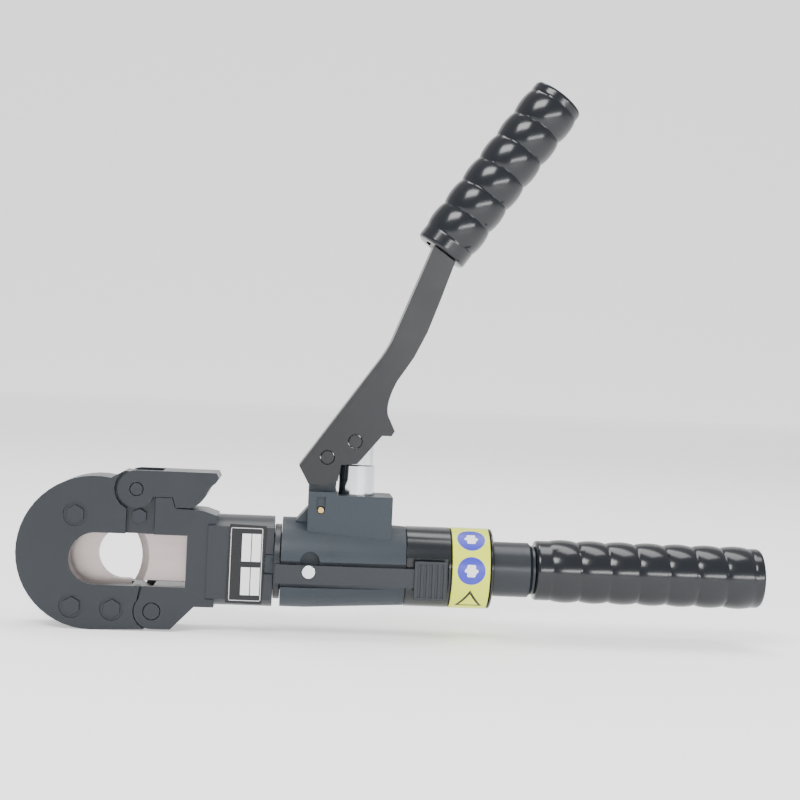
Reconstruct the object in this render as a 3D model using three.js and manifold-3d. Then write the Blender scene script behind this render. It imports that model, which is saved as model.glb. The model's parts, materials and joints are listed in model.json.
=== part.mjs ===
// One-hand hydraulic cable cutter with a flip-top C-yoke head.
// Millimetres. +X runs from the head to the rear grip, +Z towards the lever; the origin is the rear face of the grip.
import * as THREE from 'three';
import { mergeVertices } from 'three/addons/utils/BufferGeometryUtils.js';
import Module from 'manifold-3d';

const wasm = await Module();
wasm.setup();

// driving dimensions
const GAP = 0.35;
const HEAD_HALF = 13;
const BLADE_T = 4;
const BLADE_GAP = 0.3;
const YOKE_R = 39;
const YOKE_C = [-347.4, 2.4];
const ARM_END_X = -317.8;
const ARM_HALF = 9.3;
const LATCH_PIN = [-327.1, 35.5];
const LATCH_EAR_R = 9.6;
const YOKE_PIN = [-317, -26.4];
const EAR_R = 9;
const PIN_R = 3.2;
const WINDOW = { left: -359.8, right: -300.6, low: -13.8, high: 12.7 };
const BOLTS = [[-357.2, 21.7], [-357.5, -24.9], [-337.1, -25.6], [-325.3, 21.6]];
const BLADE_ARC = [-333.5, 1.2, 13];
const RAM_R = 10;
const RAM_X = [-296, -262];
const NECK_R = 23.4;
const NECK_HALF = 14.4;
const NECK_END_X = -256.6;
const HOUSING_X = [-252.6, -189];
const HOUSING_R = [23.2, 20.5];
const SPIGOT_R = 15;
const LUG_HALF = 8;
const CHANNEL_IN = 8.4;
const CHANNEL_OUT = 10.9;
const WEB_T = 2.5;
const PIVOT_B = [-231.2, 55.4];
const PIN_A = [-217.3, 64.1];
const PLUNGER_X = -215.3;
const PLUNGER_R = 9.2;
const BLOCK_TOP = 36.3;
const LUG_TOP = 37.9;
const PIVOT_R = 3.4;
const COLLAR_X = [-188.6, -143.6];
const COLLAR_R = 20.8;
const TUBE_R = 14.3;
const GRIP_PITCH = 14.9;
const LEVER_AXIS = [[-177.2, 164.2], [-118.6, 247.6]];

// ---- shape helpers ----
function body(geometry) {
  const g = geometry.clone();
  g.deleteAttribute('normal');
  g.deleteAttribute('uv');
  const m = mergeVertices(g, 1e-4);
  return new wasm.Manifold(new wasm.Mesh({
    numProp: 3,
    vertProperties: new Float32Array(m.attributes.position.array),
    triVerts: new Uint32Array(m.index.array),
  }));
}

function toGeometry(solid) {
  const mesh = solid.getMesh();
  const g = new THREE.BufferGeometry();
  g.setAttribute('position', new THREE.BufferAttribute(new Float32Array(mesh.vertProperties), 3));
  g.setIndex(new THREE.BufferAttribute(new Uint32Array(mesh.triVerts), 1));
  const flat = g.toNonIndexed();
  flat.computeVertexNormals();
  return flat;
}

// an outline in the XZ plane, extruded from y0 to y1
function plate(shape, y0, y1, segments = 8) {
  const g = new THREE.ExtrudeGeometry(shape, { depth: y1 - y0, bevelEnabled: false, curveSegments: segments });
  g.rotateX(Math.PI / 2);
  g.translate(0, y1, 0);
  return body(g);
}

function polygon(points) {
  return new THREE.Shape(points.map(([x, z]) => new THREE.Vector2(x, z)));
}

function disc(x, z, r) {
  const shape = new THREE.Shape();
  shape.absarc(x, z, r, 0, Math.PI * 2, false);
  return shape;
}

function block(x0, x1, y0, y1, z0, z1) {
  const g = new THREE.BoxGeometry(x1 - x0, y1 - y0, z1 - z0);
  g.translate((x0 + x1) / 2, (y0 + y1) / 2, (z0 + z1) / 2);
  return body(g);
}

// a round bar between two points
function rod(r, from, to, sides = 24, r2 = r) {
  const a = new THREE.Vector3(...from);
  const b = new THREE.Vector3(...to);
  const g = new THREE.CylinderGeometry(r2, r, a.distanceTo(b), sides);
  const dir = b.clone().sub(a).normalize();
  g.applyQuaternion(new THREE.Quaternion().setFromUnitVectors(new THREE.Vector3(0, 1, 0), dir));
  g.translate((a.x + b.x) / 2, (a.y + b.y) / 2, (a.z + b.z) / 2);
  return body(g);
}

// a turned profile of [x, r] points about the X axis
function turned(profile, sides = 32) {
  const g = new THREE.LatheGeometry(profile.map(([x, r]) => new THREE.Vector2(r, x)), sides);
  g.rotateZ(-Math.PI / 2);
  return body(g);
}

// ---- scene ----
const cutter = new THREE.Group();
cutter.name = 'cable_cutter';

const LOOKS = {
  black: [0x262c36, 0.45, 0.3],
  cast: [0x2d3a46, 0.6, 0.3],
  lever: [0x12151c, 0.4, 0.3],
  grip: [0x1b2028, 0.25, 0],
  steel: [0xa59694, 0.35, 0.9],
  chrome: [0xc8ccd0, 0.15, 1],
  brass: [0xb08d4a, 0.3, 1],
  seal: [0x151515, 0.8, 0],
  band: [0xd3e02a, 0.4, 0],
  plateface: [0x202226, 0.4, 0.2],
};

function add(name, look, solid) {
  const [color, roughness, metalness] = LOOKS[look];
  const material = new THREE.MeshStandardMaterial({ color, roughness, metalness });
  const mesh = new THREE.Mesh(toGeometry(solid), material);
  mesh.name = name;
  cutter.add(mesh);
}

// ---- head ----
function windowShape() {
  const mid = (WINDOW.low + WINDOW.high) / 2;
  const r = (WINDOW.high - WINDOW.low) / 2;
  const shape = new THREE.Shape();
  shape.moveTo(WINDOW.right, WINDOW.low);
  shape.lineTo(WINDOW.right, WINDOW.high);
  shape.lineTo(WINDOW.left + r, WINDOW.high);
  shape.absarc(WINDOW.left + r, mid, r, Math.PI / 2, Math.PI * 1.5, false);
  return shape;
}

function yokeShape() {
  const [cx, cz] = YOKE_C;
  const shape = new THREE.Shape();
  shape.moveTo(ARM_END_X, WINDOW.high);
  shape.lineTo(ARM_END_X, LATCH_PIN[1] - 4);
  shape.absarc(LATCH_PIN[0], LATCH_PIN[1], 8.3, -0.45, Math.PI * 0.5, false);
  shape.lineTo(-334, 44.3);
  shape.absarc(cx, cz, YOKE_R, Math.PI * 0.44, Math.PI * 1.5, false);
  shape.lineTo(YOKE_PIN[0], cz - YOKE_R + 1);
  shape.absarc(YOKE_PIN[0], YOKE_PIN[1], 9.2, -Math.PI * 0.5, Math.PI * 0.5, false);
  shape.lineTo(-326, WINDOW.low + 1);
  shape.lineTo(-326, WINDOW.high);
  return shape;
}

// cuts both outer sides back to the given half thickness
function thinDown(solid, shape, half) {
  return solid
    .subtract(plate(shape, half, HEAD_HALF + 5))
    .subtract(plate(shape, -HEAD_HALF - 5, -half));
}

function makeYoke() {
  const [hx, hz] = YOKE_PIN;
  let yoke = plate(yokeShape(), -HEAD_HALF, HEAD_HALF, 14).subtract(plate(windowShape(), -20, 20, 12));
  yoke = thinDown(yoke, disc(...LATCH_PIN, LATCH_EAR_R + 1.6), ARM_HALF);
  yoke = thinDown(yoke, polygon([[-331.8, 10], [-300, 10], [-300, 60], [-327.1, 60], [-331.8, 30]]), ARM_HALF);
  yoke = thinDown(yoke, disc(hx, hz, EAR_R + 0.6), ARM_HALF);
  yoke = thinDown(yoke, polygon([[hx, -50], [-290, -50], [-290, -10], [-322.8, -10], [-324.7, -20.6]]), ARM_HALF);
  const slot = BLADE_T + BLADE_GAP * 2;
  yoke = yoke.subtract(block(-367.5, -328, -slot, slot, -33, 30.5));
  yoke = yoke.subtract(block(-329, -310, -slot, slot, 10, 27.5));
  for (const [x, z] of BOLTS) {
    yoke = yoke.subtract(rod(PIN_R + GAP, [x, -20, z], [x, 20, z], 20));
    yoke = yoke.subtract(rod(6.2, [x, -20, z], [x, -HEAD_HALF + 0.7, z]));
  }
  yoke = yoke.subtract(rod(PIN_R + GAP, [LATCH_PIN[0], -20, LATCH_PIN[1]], [LATCH_PIN[0], 20, LATCH_PIN[1]], 20));
  yoke = yoke.subtract(rod(PIN_R + 1 + GAP, [hx, -20, hz], [hx, 20, hz], 20));
  add('yoke', 'black', yoke);
}

function makeBlades() {
  const [cx, cz, r] = BLADE_ARC;
  let fixed = plate(polygon([[-366.5, -22], [-357, -32], [-329, -32], [-329, 9], [-319.5, 14], [-319.5, 27],
    [-358, 27], [-366.5, 20]]), BLADE_GAP, BLADE_GAP + BLADE_T);
  fixed = fixed.subtract(rod(r, [cx, -10, cz], [cx, 10, cz], 40));
  fixed = fixed.subtract(block(cx, -310, -10, 10, cz - r, cz + r));
  for (const [x, z] of BOLTS) fixed = fixed.subtract(rod(PIN_R + GAP, [x, -10, z], [x, 10, z], 20));
  add('fixed_blade', 'steel', fixed);

  const EDGE_R = 23;
  const edgeX = -323.9;
  let moving = block(-327.4, -296.4, -BLADE_T - BLADE_GAP, -BLADE_GAP, -11.9, 12.1);
  moving = moving.subtract(rod(EDGE_R, [edgeX - EDGE_R, -10, 0.2], [edgeX - EDGE_R, 10, 0.2], 48));
  const bevel = rod(EDGE_R + 4.2, [edgeX - EDGE_R, -BLADE_T - 0.5, 0.2], [edgeX - EDGE_R, -1.2, 0.2], 48, EDGE_R - 0.4);
  add('moving_blade', 'steel', moving.subtract(bevel));

  add('ram', 'chrome', rod(RAM_R, [RAM_X[0], 0, 0], [RAM_X[1], 0, 0], 32));
  BOLTS.forEach(([x, z], i) => {
    const bolt = rod(PIN_R, [x, -HEAD_HALF - 0.6, z], [x, HEAD_HALF + 1.4, z], 20)
      .add(rod(4.8, [x, -HEAD_HALF - 0.6, z], [x, -HEAD_HALF + 0.4, z], 6))
      .add(rod(5, [x, HEAD_HALF + 0.35, z], [x, HEAD_HALF + 2.4, z], 6));
    add(`blade_bolt_${i + 1}`, 'black', i < 3 ? bolt : rod(PIN_R, [x, -ARM_HALF - 2.6, z], [x, ARM_HALF + 2.6, z], 20)
      .add(rod(4, [x, -ARM_HALF - 2.6, z], [x, -ARM_HALF - GAP, z], 6))
      .add(rod(4, [x, ARM_HALF + GAP, z], [x, ARM_HALF + 2.6, z], 6)));
  });
}

function makeLatch() {
  const [px, pz] = LATCH_PIN;
  const top = pz + LATCH_EAR_R;
  const shape = new THREE.Shape();
  shape.moveTo(px, top);
  shape.absarc(px, pz, LATCH_EAR_R, Math.PI * 0.5, Math.PI * 1.78, false);
  shape.lineTo(-318.6, 31.9);
  shape.lineTo(-308.6, 31.9);
  shape.lineTo(-307, 26.8);
  shape.lineTo(-299.6, 26.8);
  shape.quadraticCurveTo(-295, 28, -291.7, 33.8);
  shape.quadraticCurveTo(-290.6, 37.4, -287.4, 39.8);
  shape.lineTo(-285.7, 42.5);
  shape.lineTo(-287, top);
  let latch = plate(shape, -HEAD_HALF, HEAD_HALF, 10);
  latch = latch.subtract(block(-345, -314.6, -ARM_HALF - 0.4, ARM_HALF + 0.4, 10, 60));
  latch = latch.subtract(rod(PIN_R + GAP, [px, -20, pz], [px, 20, pz], 20));
  add('latch', 'black', latch);
  add('latch_pin', 'black', rod(PIN_R, [px, -HEAD_HALF - 0.5, pz], [px, HEAD_HALF + 0.5, pz], 20));
}

function makeHeadBody() {
  const [hx, hz] = YOKE_PIN;
  const shape = new THREE.Shape();
  shape.moveTo(-317.3, 31.6);
  shape.lineTo(-308.9, 31.6);
  shape.lineTo(-307.3, 26.4);
  shape.lineTo(-292.5, 25.6);
  shape.lineTo(-285.9, NECK_R);
  shape.lineTo(-285.9, -NECK_R);
  shape.lineTo(-295.8, -NECK_R);
  shape.lineTo(-307.4, -35.4);
  shape.lineTo(hx, -35.4);
  shape.absarc(hx, hz, EAR_R, Math.PI * 1.5, Math.PI * 0.78, true);
  shape.lineTo(-322, WINDOW.low);
  shape.lineTo(-317.3, WINDOW.low);
  let head = plate(shape, -HEAD_HALF, HEAD_HALF, 10);
  const neck = rod(NECK_R, [-290, 0, 0], [NECK_END_X, 0, 0], 48)
    .intersect(block(-300, -250, -NECK_HALF, NECK_HALF, -40, 40));
  head = head.add(neck);
  head = head.subtract(plate(windowShape(), -20, 20, 12));
  head = head.subtract(block(-330, -295, -BLADE_T - 0.7, BLADE_T + 0.7, WINDOW.low, WINDOW.high));
  head = head.subtract(rod(RAM_R + GAP, [-310, 0, 0], [-261, 0, 0], 32));
  head = head.subtract(rod(SPIGOT_R - 5, [-262, 0, 0], [-250, 0, 0], 32));
  // slot for the yoke's tongue
  head = head.subtract(rod(10, [hx, -ARM_HALF - 0.4, hz], [hx, ARM_HALF + 0.4, hz], 32));
  head = head.subtract(block(-340, hx, -ARM_HALF - 0.4, ARM_HALF + 0.4, -50, WINDOW.low + 2));
  head = head.subtract(rod(PIN_R + 1 + GAP, [hx, -20, hz], [hx, 20, hz], 20));
  // annular seat for the housing's spigot
  const seat = rod(SPIGOT_R + GAP, [-263, 0, 0], [-250, 0, 0], 32);
  head = head.subtract(seat.subtract(rod(SPIGOT_R - 3, [-264, 0, 0], [-249, 0, 0], 32)));
  head = head.subtract(rod(SPIGOT_R + GAP, [-258.5, 0, 0], [-250, 0, 0], 32));
  add('head_body', 'black', head);
  add('yoke_hinge_pin', 'black', rod(PIN_R + 1, [hx, -HEAD_HALF - 0.3, hz], [hx, HEAD_HALF + 0.3, hz], 20));
}

function makeNameplate() {
  const g = polygon([[-279, 20], [-260.4, 19.4], [-261.6, -20.6], [-280, -20.2]]);
  add('nameplate', 'plateface', plate(g, -NECK_HALF - 1, -NECK_HALF - 0.3));
}

// ---- pump ----
function makeHousing() {
  const [x0, x1] = HOUSING_X;
  let h = turned([[x0, 0], [x0, HOUSING_R[0]], [-240, HOUSING_R[0]], [x1, HOUSING_R[1]], [x1, 0]], 48);
  h = h.add(block(-226.5, -196.8, -15, 15, 0, BLOCK_TOP));
  h = h.add(block(-240, -225.5, -15, 15, 0, LUG_TOP));
  h = h.add(plate(polygon([[-246, 22], [-243, 25.5], [-240, 29], [-240, 41], [-237.5, 55.4],
    [-224.9, 55.4], [-226.4, 36], [-225, 20]]), -LUG_HALF, LUG_HALF));
  h = h.add(plate(disc(...PIVOT_B, 6), -LUG_HALF, LUG_HALF));
  h = h.add(rod(SPIGOT_R - GAP, [-262.6, 0, 0], [-250, 0, 0], 32).subtract(rod(SPIGOT_R - 3 + GAP, [-263, 0, 0], [-258, 0, 0], 32)));
  h = h.subtract(rod(PLUNGER_R + GAP, [PLUNGER_X, 0, 14], [PLUNGER_X, 0, 60], 32));
  h = h.subtract(rod(6, [PLUNGER_X, 0, 4], [PLUNGER_X, 0, 20], 20));
  h = h.subtract(rod(PIVOT_R + GAP, [PIVOT_B[0], -20, PIVOT_B[1]], [PIVOT_B[0], 20, PIVOT_B[1]], 20));
  h = h.subtract(rod(6.2, [-225, 0, 0], [-180, 0, 0], 24));
  // shallow pocket in the lug's front face
  h = h.subtract(block(-235.8, -231.2, -20, -13.4, 29, 35.4));
  // release bar's pocket and its flat
  h = h.subtract(block(-260, -180, -40, -18, -10.5, 3));
  h = h.subtract(plate(new THREE.Shape(disc(-237.9, 3, 5).getPoints(12)), -40, -16.5));
  h = h.subtract(rod(2 + GAP, [-238.4, -40, -2], [-238.4, -8, -2], 16));
  h = h.subtract(rod(1.6 + GAP, [-233.4, -40, 28.6], [-233.4, 40, 28.6], 16));
  add('pump_housing', 'cast', h);
  add('swivel_ring', 'black', turned([[-256.2, 15.4], [-256.2, 19.4], [-253, 19.4], [-253, 15.4], [-256.2, 15.4]], 32));
  add('plunger_seal', 'seal', rod(PLUNGER_R - 0.4, [PLUNGER_X, 0, 14.4], [PLUNGER_X, 0, 16.6], 24)
    .subtract(rod(4, [PLUNGER_X, 0, 10], [PLUNGER_X, 0, 20], 20)));
  add('check_ball', 'chrome', body(new THREE.SphereGeometry(5, 16, 10).translate(PLUNGER_X, 0, 9.4)));
  add('relief_screw', 'brass', rod(5.6, [-208, 0, 0], [-192, 0, 0], 20));
  add('roll_pin', 'brass', rod(1.6, [-233.4, -LUG_HALF - 7.4, 28.6], [-233.4, LUG_HALF + 7.4, 28.6], 16));
  add('lever_pivot_pin', 'lever', rod(PIVOT_R, [PIVOT_B[0], -CHANNEL_OUT - 1, PIVOT_B[1]], [PIVOT_B[0], CHANNEL_OUT + 1, PIVOT_B[1]], 20));
}

function makeRelease() {
  const y0 = -22.6;
  const y1 = -20;
  let bar = block(-255.4, -184.6, y0, y1, -8.5, 1.2);
  bar = bar.add(block(-184.8, -168.7, y0 - 1.4, -21.2, -14.2, 5.3));
  for (let i = 0; i < 5; i += 1) {
    bar = bar.subtract(block(-183 + i * 2.9, -181.6 + i * 2.9, y0 - 3, y0 - 0.7, -13, 4));
  }
  bar = bar.subtract(rod(2 + GAP, [-238.4, -40, -2], [-238.4, -8, -2], 16));
  add('release_bar', 'black', bar);
  add('release_pivot_screw', 'chrome', rod(2, [-238.4, -23.4, -2], [-238.4, -12, -2], 16)
    .add(rod(3.4, [-238.4, -24.4, -2], [-238.4, -23, -2], 16)));
}

// ---- lever ----
function leverShape() {
  const shape = new THREE.Shape();
  shape.moveTo(-245.5, 50.7);
  shape.lineTo(-206.2, 106.9);
  shape.quadraticCurveTo(-202, 113, -199.8, 118.5);
  shape.lineTo(-180.6, 168);
  shape.lineTo(-169.6, 160);
  shape.lineTo(-176.7, 138.7);
  shape.lineTo(-182.7, 121.8);
  shape.lineTo(-189, 108.6);
  shape.lineTo(-197.1, 96.1);
  shape.quadraticCurveTo(-204, 82, -200.1, 76.2);
  shape.lineTo(-197.2, 70.2);
  shape.lineTo(-198.8, 67.6);
  shape.lineTo(-203.6, 67.6);
  shape.lineTo(-215.8, 52.6);
  shape.lineTo(-224, 51.8);
  shape.lineTo(-225.4, 43.5);
  shape.lineTo(-232.6, 40.4);
  shape.lineTo(-240.4, 41.6);
  return shape;
}

function makeLever() {
  let channel = plate(leverShape(), -CHANNEL_OUT, CHANNEL_OUT, 8);
  // everything behind the web is open
  const cavity = polygon([[-252, 36], [-245.5 + 3, 50.7], [-206.2 + 2.4, 106.9 - 1.2], [-197, 118.5], [-176, 175],
    [-150, 160], [-180, 30]]);
  channel = channel.subtract(plate(cavity, -CHANNEL_IN, CHANNEL_IN));
  channel = channel.subtract(place(rod(40, [-0.4, 0, 0], [60, 0, 0]), ...LEVER_AXIS));
  channel = channel.subtract(rod(PIVOT_R + GAP, [PIVOT_B[0], -20, PIVOT_B[1]], [PIVOT_B[0], 20, PIVOT_B[1]], 20));
  channel = channel.subtract(rod(3.4 + GAP, [PIN_A[0], -20, PIN_A[1]], [PIN_A[0], 20, PIN_A[1]], 20));
  add('lever_channel', 'lever', channel);
  add('plunger_pin', 'lever', rod(3.4, [PIN_A[0], -CHANNEL_OUT - 1, PIN_A[1]], [PIN_A[0], CHANNEL_OUT + 1, PIN_A[1]], 20));

  let plunger = rod(PLUNGER_R, [PLUNGER_X, 0, 33], [PLUNGER_X, 0, 51.6], 32);
  plunger = plunger.add(rod(PLUNGER_R - 1, [PLUNGER_X, 0, 50], [PLUNGER_X, 0, 70], 24)
    .intersect(block(PLUNGER_X - 8, PLUNGER_X + 8, -5, 5, 50, 69.5)));
  const slot = new THREE.Shape();
  slot.absarc(PIN_A[0] - 0.1, PIN_A[1], 3.85, Math.PI / 2, Math.PI * 1.5, false);
  slot.absarc(PIN_A[0] + 2.7, PIN_A[1], 3.85, -Math.PI / 2, Math.PI / 2, false);
  plunger = plunger.subtract(plate(slot, -10, 10));
  add('plunger', 'chrome', plunger);
}

// ribbed grip between two points, with barrel-shaped lobes and a plain end ring
function ribbedGrip(length, lobes, rLow, rHigh, bore, boreDepth) {
  const STEP = 3;
  const ring = 8;
  const profile = [[0, 0], [0, rLow - 2], [1.5, rLow], [ring, rLow]];
  const pitch = (length - ring * 1.6) / lobes;
  for (let i = 0; i < lobes; i += 1) {
    for (let k = 0; k <= STEP; k += 1) {
      const x = ring + i * pitch + 0.4 + (pitch - 0.8) * (k / STEP);
      profile.push([x, rLow - 0.6 + (rHigh - rLow + 0.6) * Math.sin(Math.PI * (k / STEP)) ** 0.6]);
    }
  }
  profile.push([length - 1.5, rLow], [length, rLow - 2], [length, 0]);
  return turned(profile, 20).subtract(rod(bore, [-1, 0, 0], [boreDepth, 0, 0], 24));
}

function place(solid, from, to) {
  const a = new THREE.Vector3(from[0], 0, from[1]);
  const dir = new THREE.Vector3(to[0], 0, to[1]).sub(a).normalize();
  const m = new THREE.Matrix4().makeRotationY(-Math.atan2(dir.z, dir.x));
  m.setPosition(a);
  return solid.transform(m.elements.slice());
}

function makeGrips() {
  const [a, b] = LEVER_AXIS;
  const length = Math.hypot(b[0] - a[0], b[1] - a[1]);
  const grip = ribbedGrip(length, 6, 14.2, 15.2, 9, length - 12);
  const tang = rod(8.4, [0, 0, 0], [length - 14, 0, 0], 20).intersect(block(-20, 200, -8, 8, -6.4, 6.4));
  const cut = rod(12, [-12, 0, 0], [0.2, 0, 0], 24);
  add('lever_grip', 'grip', place(grip.subtract(cut), a, b));
  // the tang is pressed inside the channel's top end
  add('lever_tang', 'lever', place(tang.add(block(-8, 0.5, -6, 6, -6, -0.9)), a, b));
  const rear = ribbedGrip(120.6, 7, 15.6, 16.6, 8.4, 100);
  add('rear_grip', 'grip', rear.translate([-120.6, 0, 0]));
}

function makeRear() {
  const [x0, x1] = COLLAR_X;
  let collar = turned([[x0, 0], [x0, COLLAR_R], [-166, COLLAR_R], [-165.6, COLLAR_R - 0.8], [-145.4, COLLAR_R - 0.8],
    [-145, COLLAR_R], [x1 - 0.6, COLLAR_R], [x1, COLLAR_R - 1.5], [x1, 0]], 48);
  collar = collar.subtract(rod(15, [-184, 0, 0], [-148, 0, 0], 32)).subtract(rod(12, [-150, 0, 0], [-140, 0, 0], 24));
  collar = collar.subtract(block(-190, -167, -30, -18, -15.2, 6.3));
  add('reservoir_collar', 'grip', collar);
  add('warning_band', 'band', turned([[-165.2, COLLAR_R - 0.5], [-165.2, COLLAR_R + 0.1], [-145.8, COLLAR_R + 0.1],
    [-145.8, COLLAR_R - 0.5], [-165.2, COLLAR_R - 0.5]], 48));
  add('handle_tube', 'black', turned([[-147.6, 0], [-147.6, 11.6], [-143.2, 11.6], [-143.2, TUBE_R], [-124, TUBE_R],
    [-122.4, TUBE_R - 1.6], [-122.4, 12.6], [-121, 12.6], [-121, 8], [-24, 8], [-24, 0]], 32)
    .subtract(rod(6.4, [-160, 0, 0], [-30, 0, 0], 20)));
  add('oil_bladder', 'seal', rod(5.8, [-183.4, 0, 0], [-34, 0, 0], 20).subtract(rod(4.6, [-190, 0, 0], [-36, 0, 0], 20)));
}

makeYoke();
makeBlades();
makeLatch();
makeHeadBody();
makeNameplate();
makeHousing();
makeRelease();
makeLever();
makeGrips();
makeRear();

export default cutter;
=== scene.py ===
import json
import math
from collections import namedtuple

import bpy
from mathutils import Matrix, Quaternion, Vector


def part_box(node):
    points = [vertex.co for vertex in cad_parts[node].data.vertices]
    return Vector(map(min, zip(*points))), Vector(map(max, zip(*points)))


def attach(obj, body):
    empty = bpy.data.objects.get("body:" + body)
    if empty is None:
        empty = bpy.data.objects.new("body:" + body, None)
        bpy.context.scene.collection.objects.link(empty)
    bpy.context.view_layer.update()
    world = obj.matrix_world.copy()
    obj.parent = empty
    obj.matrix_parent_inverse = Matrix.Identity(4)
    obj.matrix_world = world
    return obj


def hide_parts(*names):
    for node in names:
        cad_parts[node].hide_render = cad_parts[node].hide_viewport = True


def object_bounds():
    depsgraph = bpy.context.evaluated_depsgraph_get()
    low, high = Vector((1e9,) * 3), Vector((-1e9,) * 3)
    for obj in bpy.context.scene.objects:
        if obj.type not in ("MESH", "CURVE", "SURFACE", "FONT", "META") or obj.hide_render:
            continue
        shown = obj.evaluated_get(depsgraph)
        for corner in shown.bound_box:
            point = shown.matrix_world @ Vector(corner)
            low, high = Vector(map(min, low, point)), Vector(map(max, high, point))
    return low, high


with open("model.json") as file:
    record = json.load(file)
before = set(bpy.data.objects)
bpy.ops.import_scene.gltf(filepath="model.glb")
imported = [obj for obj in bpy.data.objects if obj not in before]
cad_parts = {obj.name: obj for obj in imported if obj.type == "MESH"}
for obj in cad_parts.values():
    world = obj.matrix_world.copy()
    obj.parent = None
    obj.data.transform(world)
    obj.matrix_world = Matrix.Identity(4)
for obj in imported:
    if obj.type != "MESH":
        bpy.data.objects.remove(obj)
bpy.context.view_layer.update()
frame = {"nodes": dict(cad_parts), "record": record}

MM = 0.001

# ---- finishes ----
# low and high are the two linear colours that the surface drifts between, grain is the fine noise's scale,
# relief is the bump's strength, and stretch squeezes the noise along an axis to give ground or drawn lines.
Look = namedtuple("Look", "low high rough metal grain relief stretch")
EVEN = (1, 1, 1)
LOOKS = {
    "black": Look((0.008, 0.011, 0.016), (0.013, 0.017, 0.023), 0.34, 0.1, 900, 0.10, EVEN),
    "cast": Look((0.010, 0.017, 0.025), (0.017, 0.026, 0.036), 0.46, 0.1, 1300, 0.55, EVEN),
    "lever": Look((0.002, 0.003, 0.005), (0.004, 0.005, 0.008), 0.36, 0.05, 900, 0.08, EVEN),
    "grip": Look((0.003, 0.004, 0.007), (0.005, 0.007, 0.010), 0.20, 0.0, 350, 0.04, EVEN),
    # steel: bare steel grey with a mauve-pink tint in its colour, a painted reflection of warm pinkish
    # surroundings
    "steel": Look((0.40, 0.34, 0.33), (0.50, 0.44, 0.42), 0.34, 0.75, 500, 0.12, (1, 1, 9)),
    "chrome": Look((0.62, 0.65, 0.68), (0.72, 0.74, 0.76), 0.14, 1.0, 700, 0.03, (1, 1, 8)),
    "brass": Look((0.50, 0.33, 0.12), (0.60, 0.42, 0.18), 0.30, 1.0, 700, 0.06, EVEN),
    "seal": Look((0.008, 0.008, 0.008), (0.014, 0.014, 0.014), 0.70, 0.0, 900, 0.20, EVEN),
    "band": Look((0.66, 0.74, 0.02), (0.72, 0.80, 0.04), 0.30, 0.0, 300, 0.03, EVEN),
    "plateface": Look((0.006, 0.006, 0.008), (0.012, 0.012, 0.015), 0.30, 0.3, 600, 0.04, EVEN),
    "blue": Look((0.03, 0.03, 0.42), (0.04, 0.04, 0.50), 0.32, 0.0, 400, 0.03, EVEN),
    "white": Look((0.74, 0.75, 0.75), (0.82, 0.82, 0.82), 0.35, 0.0, 400, 0.03, EVEN),
    "silver": Look((0.50, 0.51, 0.52), (0.62, 0.62, 0.63), 0.28, 0.9, 600, 0.05, (1, 9, 1)),
}
CLOUD_SCALE = 0.05          # broad variation, as a share of the grain's scale
CLOUD_DETAIL = 6
GRAIN_DETAIL = 4
ROUGH_SPREAD = 0.25         # roughness varies by this share each way
RELIEF_DEPTH = 0.15 * MM


def make_material(name):
    look = LOOKS[name]
    mat = bpy.data.materials.new("look_" + name)
    mat.use_nodes = True
    nodes, links = mat.node_tree.nodes, mat.node_tree.links
    shader = nodes["Principled BSDF"]
    shader.inputs["Metallic"].default_value = look.metal
    coords = nodes.new("ShaderNodeTexCoord")
    scale = nodes.new("ShaderNodeMapping")
    scale.inputs["Scale"].default_value = look.stretch
    links.new(coords.outputs["Object"], scale.inputs["Vector"])

    def noise(size, detail):
        node = nodes.new("ShaderNodeTexNoise")
        node.inputs["Scale"].default_value = size
        node.inputs["Detail"].default_value = detail
        links.new(scale.outputs["Vector"], node.inputs["Vector"])
        return node

    cloudy = noise(look.grain * CLOUD_SCALE, CLOUD_DETAIL)
    fine = noise(look.grain, GRAIN_DETAIL)
    tint = nodes.new("ShaderNodeMix")
    tint.data_type = "RGBA"
    tint.inputs["A"].default_value = (*look.low, 1)
    tint.inputs["B"].default_value = (*look.high, 1)
    links.new(cloudy.outputs["Fac"], tint.inputs["Factor"])
    links.new(tint.outputs["Result"], shader.inputs["Base Color"])
    spread = nodes.new("ShaderNodeMapRange")
    spread.inputs["To Min"].default_value = look.rough * (1 - ROUGH_SPREAD)
    spread.inputs["To Max"].default_value = look.rough * (1 + ROUGH_SPREAD)
    links.new(cloudy.outputs["Fac"], spread.inputs["Value"])
    links.new(spread.outputs["Result"], shader.inputs["Roughness"])
    relief = nodes.new("ShaderNodeBump")
    relief.inputs["Strength"].default_value = look.relief
    relief.inputs["Distance"].default_value = RELIEF_DEPTH
    links.new(fine.outputs["Fac"], relief.inputs["Height"])
    links.new(relief.outputs["Normal"], shader.inputs["Normal"])
    return mat


materials = {name: make_material(name) for name in LOOKS}

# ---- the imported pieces: finish, smooth shading and a small rounding on their edges ----
WELD_DISTANCE = 0.002 * MM
EDGE_WIDTH = 0.35 * MM
EDGE_SEGMENTS = 2
EDGE_ANGLE = math.radians(32)


def dress(obj, look):
    obj.data.materials.clear()
    obj.data.materials.append(materials[look])
    if "custom_normal" in obj.data.attributes:
        obj.data.attributes.remove(obj.data.attributes["custom_normal"])
    obj.data.shade_smooth()
    weld = obj.modifiers.new("weld", "WELD")
    weld.merge_threshold = WELD_DISTANCE
    bevel = obj.modifiers.new("edges", "BEVEL")
    bevel.width = EDGE_WIDTH
    bevel.segments = EDGE_SEGMENTS
    bevel.limit_method = "ANGLE"
    bevel.angle_limit = EDGE_ANGLE
    bevel.harden_normals = True


slots = {part["node"]: part["material_slot"] for part in frame["record"]["subparts"]}
for node_name, node_object in frame["nodes"].items():
    dress(node_object, slots[node_name])

# ---- new pieces ----
SHARP_ANGLE = math.radians(40)


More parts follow.
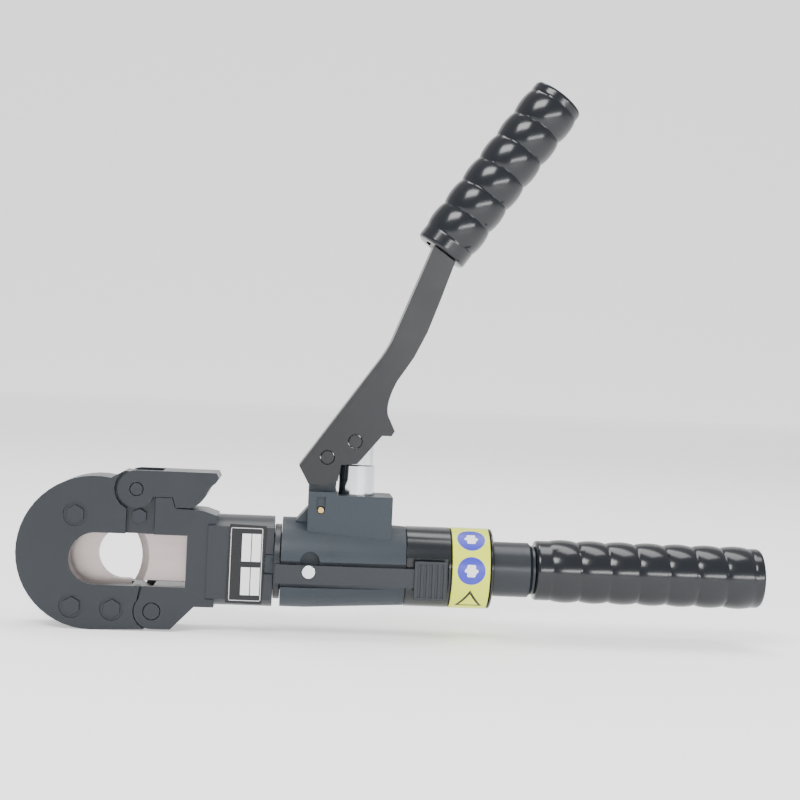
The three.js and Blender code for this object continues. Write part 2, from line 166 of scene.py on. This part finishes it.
def new_piece(name, verts, faces, look, body, smooth=True):
    mesh = bpy.data.meshes.new(name)
    mesh.from_pydata(verts, [], faces)
    mesh.validate()
    obj = bpy.data.objects.new(name, mesh)
    bpy.context.scene.collection.objects.link(obj)
    mesh.materials.append(materials[look])
    if smooth:
        mesh.shade_smooth()
        mesh.set_sharp_from_angle(angle=SHARP_ANGLE)
    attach(obj, body)
    return obj


def ring_faces(first, second, sides):
    """Quads between two rings of vertices that start at these indices."""
    for s in range(sides):
        t = (s + 1) % sides
        yield (first + s, first + t, second + t, second + s)


# ---- the two ribbed grips, turned finely, with ribs that lie a little aslant ----
GRIP_SIDES = 72
GRIP_STEPS = 150
END_RING = 8 * MM
PLAIN_TIP = 0.6             # the plain part at the far end, as a share of END_RING
END_ROUND = 1.4 * MM
GROOVE_DEPTH = 0.5 * MM
RIB_SLANT = 0.9 * MM
RIB_CROWN = 0.55            # below 1 gives broad lobes with narrow grooves


def rib_radius(x, angle, length, lobes, low, high):
    """The grip's radius: barrel-shaped lobes between a plain ring and a plain tip."""
    if not END_RING < x < length - END_RING * PLAIN_TIP:
        return low
    pitch = (length - END_RING * (1 + PLAIN_TIP)) / lobes
    phase = ((x - END_RING + RIB_SLANT * math.sin(angle)) / pitch) % 1.0
    crown = math.sin(math.pi * phase) ** RIB_CROWN
    return low - GROOVE_DEPTH + (high - low + GROOVE_DEPTH) * crown


def ribbed_grip(name, node, body, start, end, lobes, low, high, bore):
    length = (end - start).length
    turn = Vector((1, 0, 0)).rotation_difference((end - start).normalized())
    # each ring is its place along the grip, its radius, and whether it is in the ribbed length
    rings = [
        (0.0, bore, False),
        (0.0, low - END_ROUND, False),
        (0.5 * MM, low - 0.4 * MM, False),
    ]
    for k in range(GRIP_STEPS + 1):
        rings.append((END_ROUND + (length - 2 * END_ROUND) * k / GRIP_STEPS, low, True))
    rings += [
        (length - 0.4 * MM, low - 0.5 * MM, False),
        (length, low - 1.6 * MM, False),
        (length, 0.3 * MM, False),
    ]
    verts, faces = [], []
    for x, plain_radius, ribbed in rings:
        for s in range(GRIP_SIDES):
            angle = 2 * math.pi * s / GRIP_SIDES
            radius = rib_radius(x, angle, length, lobes, low, high) if ribbed else plain_radius
            point = Vector((x, radius * math.cos(angle), radius * math.sin(angle)))
            verts.append(turn @ point + start)
    last = len(rings) - 1
    for i in range(last):
        faces += ring_faces(i * GRIP_SIDES, (i + 1) * GRIP_SIDES, GRIP_SIDES)
    faces.append(tuple(range(last * GRIP_SIDES, (last + 1) * GRIP_SIDES)))
    obj = new_piece(name, verts, faces, "grip", body)
    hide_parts(node)


rear_low, rear_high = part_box("rear_grip")
ribbed_grip("rear_grip_moulded", "rear_grip", "housing",
            start=Vector((rear_low[0], 0, 0)), end=Vector((rear_high[0], 0, 0)),
            lobes=7, low=15.6 * MM, high=rear_high[2], bore=8.6 * MM)
# the lever grip lies along a slanted axis, so its two ends are stated here
ribbed_grip("lever_grip_moulded", "lever_grip", "lever",
            start=Vector((-177.2, 0, 164.2)) * MM, end=Vector((-118.6, 0, 247.6)) * MM,
            lobes=6, low=14.2 * MM, high=15.2 * MM, bore=9 * MM)

# ---- thin printed shapes wrapped round the warning band ----
band_low, band_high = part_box("warning_band")
band_radius = band_high[2]
band_middle = (band_low[0] + band_high[0]) / 2
SIGN = 7.2 * MM
UNDER_PRINT = 0.05 * MM
OVER_PRINT = 0.09 * MM
FAN_ROWS = 5
DISC_ANGLES = (math.radians(52), math.radians(3))
TRIANGLE_ANGLE = math.radians(-48)


def wrapped(name, outline, angle, look, lift):
    """outline is (along, around) points in metres about the shape's centre; angle 0 is at the front."""
    radius = band_radius + lift
    verts = []
    for row in range(FAN_ROWS):
        share = row / (FAN_ROWS - 1)
        for along, around in outline:
            a = angle + around * share / band_radius
            verts.append((band_middle + along * share, -radius * math.cos(a), radius * math.sin(a)))
    count = len(outline)
    faces = []
    for row in range(1, FAN_ROWS):
        faces += ring_faces((row - 1) * count, row * count, count)
    obj = new_piece(name, verts, faces, look, "housing", smooth=False)


def circle(r, sides=32):
    angles = [2 * math.pi * k / sides for k in range(sides)]
    return [(r * math.cos(a), r * math.sin(a)) for a in angles]


def triangle(r, pieces_per_side=8):
    corners = [(r * math.cos(math.radians(a)), r * math.sin(math.radians(a))) for a in (90, 210, 330)]
    points = []
    for k, (ax, az) in enumerate(corners):
        bx, bz = corners[(k + 1) % 3]
        for q in range(pieces_per_side):
            share = q / pieces_per_side
            points.append((ax + (bx - ax) * share, az + (bz - az) * share))
    return points


for index, disc_angle in enumerate(DISC_ANGLES):
    wrapped(f"band_disc_{index}", circle(SIGN), disc_angle, "blue", UNDER_PRINT)
    wrapped(f"band_disc_inner_{index}", circle(SIGN * 0.5, 6), disc_angle, "white", OVER_PRINT)
wrapped("band_triangle", triangle(SIGN * 1.15), TRIANGLE_ANGLE, "lever", UNDER_PRINT)
wrapped("band_triangle_inner", triangle(SIGN * 0.8), TRIANGLE_ANGLE, "band", OVER_PRINT)

# ---- nameplate: silver border and blank fields ----
PRINT_DEPTH = 0.12 * MM
MARGIN = 1.6 * MM
FAR_MARGIN = 1.8 * MM
LINE = 0.35 * MM
plate_low, plate_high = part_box("nameplate")
left, right = plate_low[0] + MARGIN, plate_high[0] - FAR_MARGIN
bottom, top = plate_low[2] + MARGIN, plate_high[2] - FAR_MARGIN


def printed(name, x0, x1, z0, z1, look):
    """A thin slab that stands out of the nameplate's front face."""
    y = plate_low[1]
    corners = ((x0, z0), (x1, z0), (x1, z1), (x0, z1))
    verts = [(x, layer, z) for layer in (y, y - PRINT_DEPTH) for x, z in corners]
    faces = [(0, 3, 2, 1), (4, 5, 6, 7), (0, 1, 5, 4), (1, 2, 6, 5), (2, 3, 7, 6), (3, 0, 4, 7)]
    obj = new_piece(name, verts, faces, look, "head", smooth=False)


printed("plate_border_low", left, right, bottom, bottom + LINE, "silver")
printed("plate_border_high", left, right, top - LINE, top, "silver")
printed("plate_border_left", left, left + LINE, bottom, top, "silver")
printed("plate_border_right", right - LINE, right, bottom, top, "silver")
# fields in two columns and two rows, right of a plain title strip; all are shares of the bordered area
width, height = right - left, top - bottom
FIELD = (0.28, 0.38)
FIRST_FIELD = (0.36, 0.08)
FIELD_STEP = (0.31, 0.46)
for column in range(2):
    for row in range(2):
        x = left + width * (FIRST_FIELD[0] + FIELD_STEP[0] * column)
        z = bottom + height * (FIRST_FIELD[1] + FIELD_STEP[1] * row)
        printed(f"plate_field_{column}{row}", x, x + width * FIELD[0], z, z + height * FIELD[1], "white")

# ---- floor and backdrop ----
low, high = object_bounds()
FLOOR_HALF = 6.0
FLOOR_COLOUR = (0.93, 0.93, 0.93, 1)
FLOOR_ROUGHNESS = 0.9
FLOOR_GLOW = 0.55
PURE_WHITE = (1, 1, 1, 1)
floor_mesh = bpy.data.meshes.new("floor")
floor_mesh.from_pydata(
    [
        (-FLOOR_HALF, -FLOOR_HALF, low[2]), (FLOOR_HALF, -FLOOR_HALF, low[2]),
        (FLOOR_HALF, FLOOR_HALF, low[2]), (-FLOOR_HALF, FLOOR_HALF, low[2]),
        (FLOOR_HALF, FLOOR_HALF, FLOOR_HALF), (-FLOOR_HALF, FLOOR_HALF, FLOOR_HALF),
    ],
    [],
    [(0, 1, 2, 3), (3, 2, 4, 5)],
)
floor = bpy.data.objects.new("floor", floor_mesh)
bpy.context.scene.collection.objects.link(floor)
pale = bpy.data.materials.new("pale_floor")
pale.use_nodes = True
pale_shader = pale.node_tree.nodes["Principled BSDF"]
pale_shader.inputs["Base Color"].default_value = FLOOR_COLOUR
pale_shader.inputs["Roughness"].default_value = FLOOR_ROUGHNESS
pale_shader.inputs["Emission Color"].default_value = PURE_WHITE
pale_shader.inputs["Emission Strength"].default_value = FLOOR_GLOW
floor_mesh.materials.append(pale)

# ---- lights ----
centre = Vector([(low[i] + high[i]) / 2 for i in range(3)])


def area_light(name, offset, size, size_y, power):
    light = bpy.data.lights.new(name, "AREA")
    light.shape = "RECTANGLE"
    light.size, light.size_y, light.energy = size, size_y, power
    lamp = bpy.data.objects.new(name, light)
    lamp.location = centre + Vector(offset)
    lamp.rotation_mode = "QUATERNION"
    lamp.rotation_quaternion = (centre - lamp.location).to_track_quat("-Z", "Y")
    bpy.context.scene.collection.objects.link(lamp)


area_light("key", (-0.5, -1.0, 1.1), size=0.9, size_y=0.5, power=22)
area_light("strip", (0.6, -1.2, 0.1), size=1.2, size_y=0.12, power=9)
area_light("top", (0.2, 0.2, 1.5), size=1.4, size_y=0.7, power=20)
WORLD_STRENGTH = 0.8
world = bpy.data.worlds.new("studio")
world.use_nodes = True
sky = world.node_tree.nodes["Background"]
sky.inputs["Color"].default_value = PURE_WHITE
sky.inputs["Strength"].default_value = WORLD_STRENGTH
bpy.context.scene.world = world

# ---- camera: close to side-on, and rolled a little so that the tool slopes down to the right ----
CAMERA_AT = Vector((-0.2445, -0.75, 0.0971))
LOOK_AT = Vector((-0.1946, 0.0, 0.0863))
ROLL = math.radians(2.6)
SENSOR = 36.0
LENS = 64.9
camera_data = bpy.data.cameras.new("camera")
camera_data.sensor_width = SENSOR
camera_data.lens = LENS
camera = bpy.data.objects.new("camera", camera_data)
camera.location = CAMERA_AT
camera.rotation_mode = "QUATERNION"
aim = (LOOK_AT - CAMERA_AT).to_track_quat("-Z", "Y")
camera.rotation_quaternion = aim @ Quaternion((0, 0, 1), ROLL)
bpy.context.scene.collection.objects.link(camera)
bpy.context.scene.camera = camera
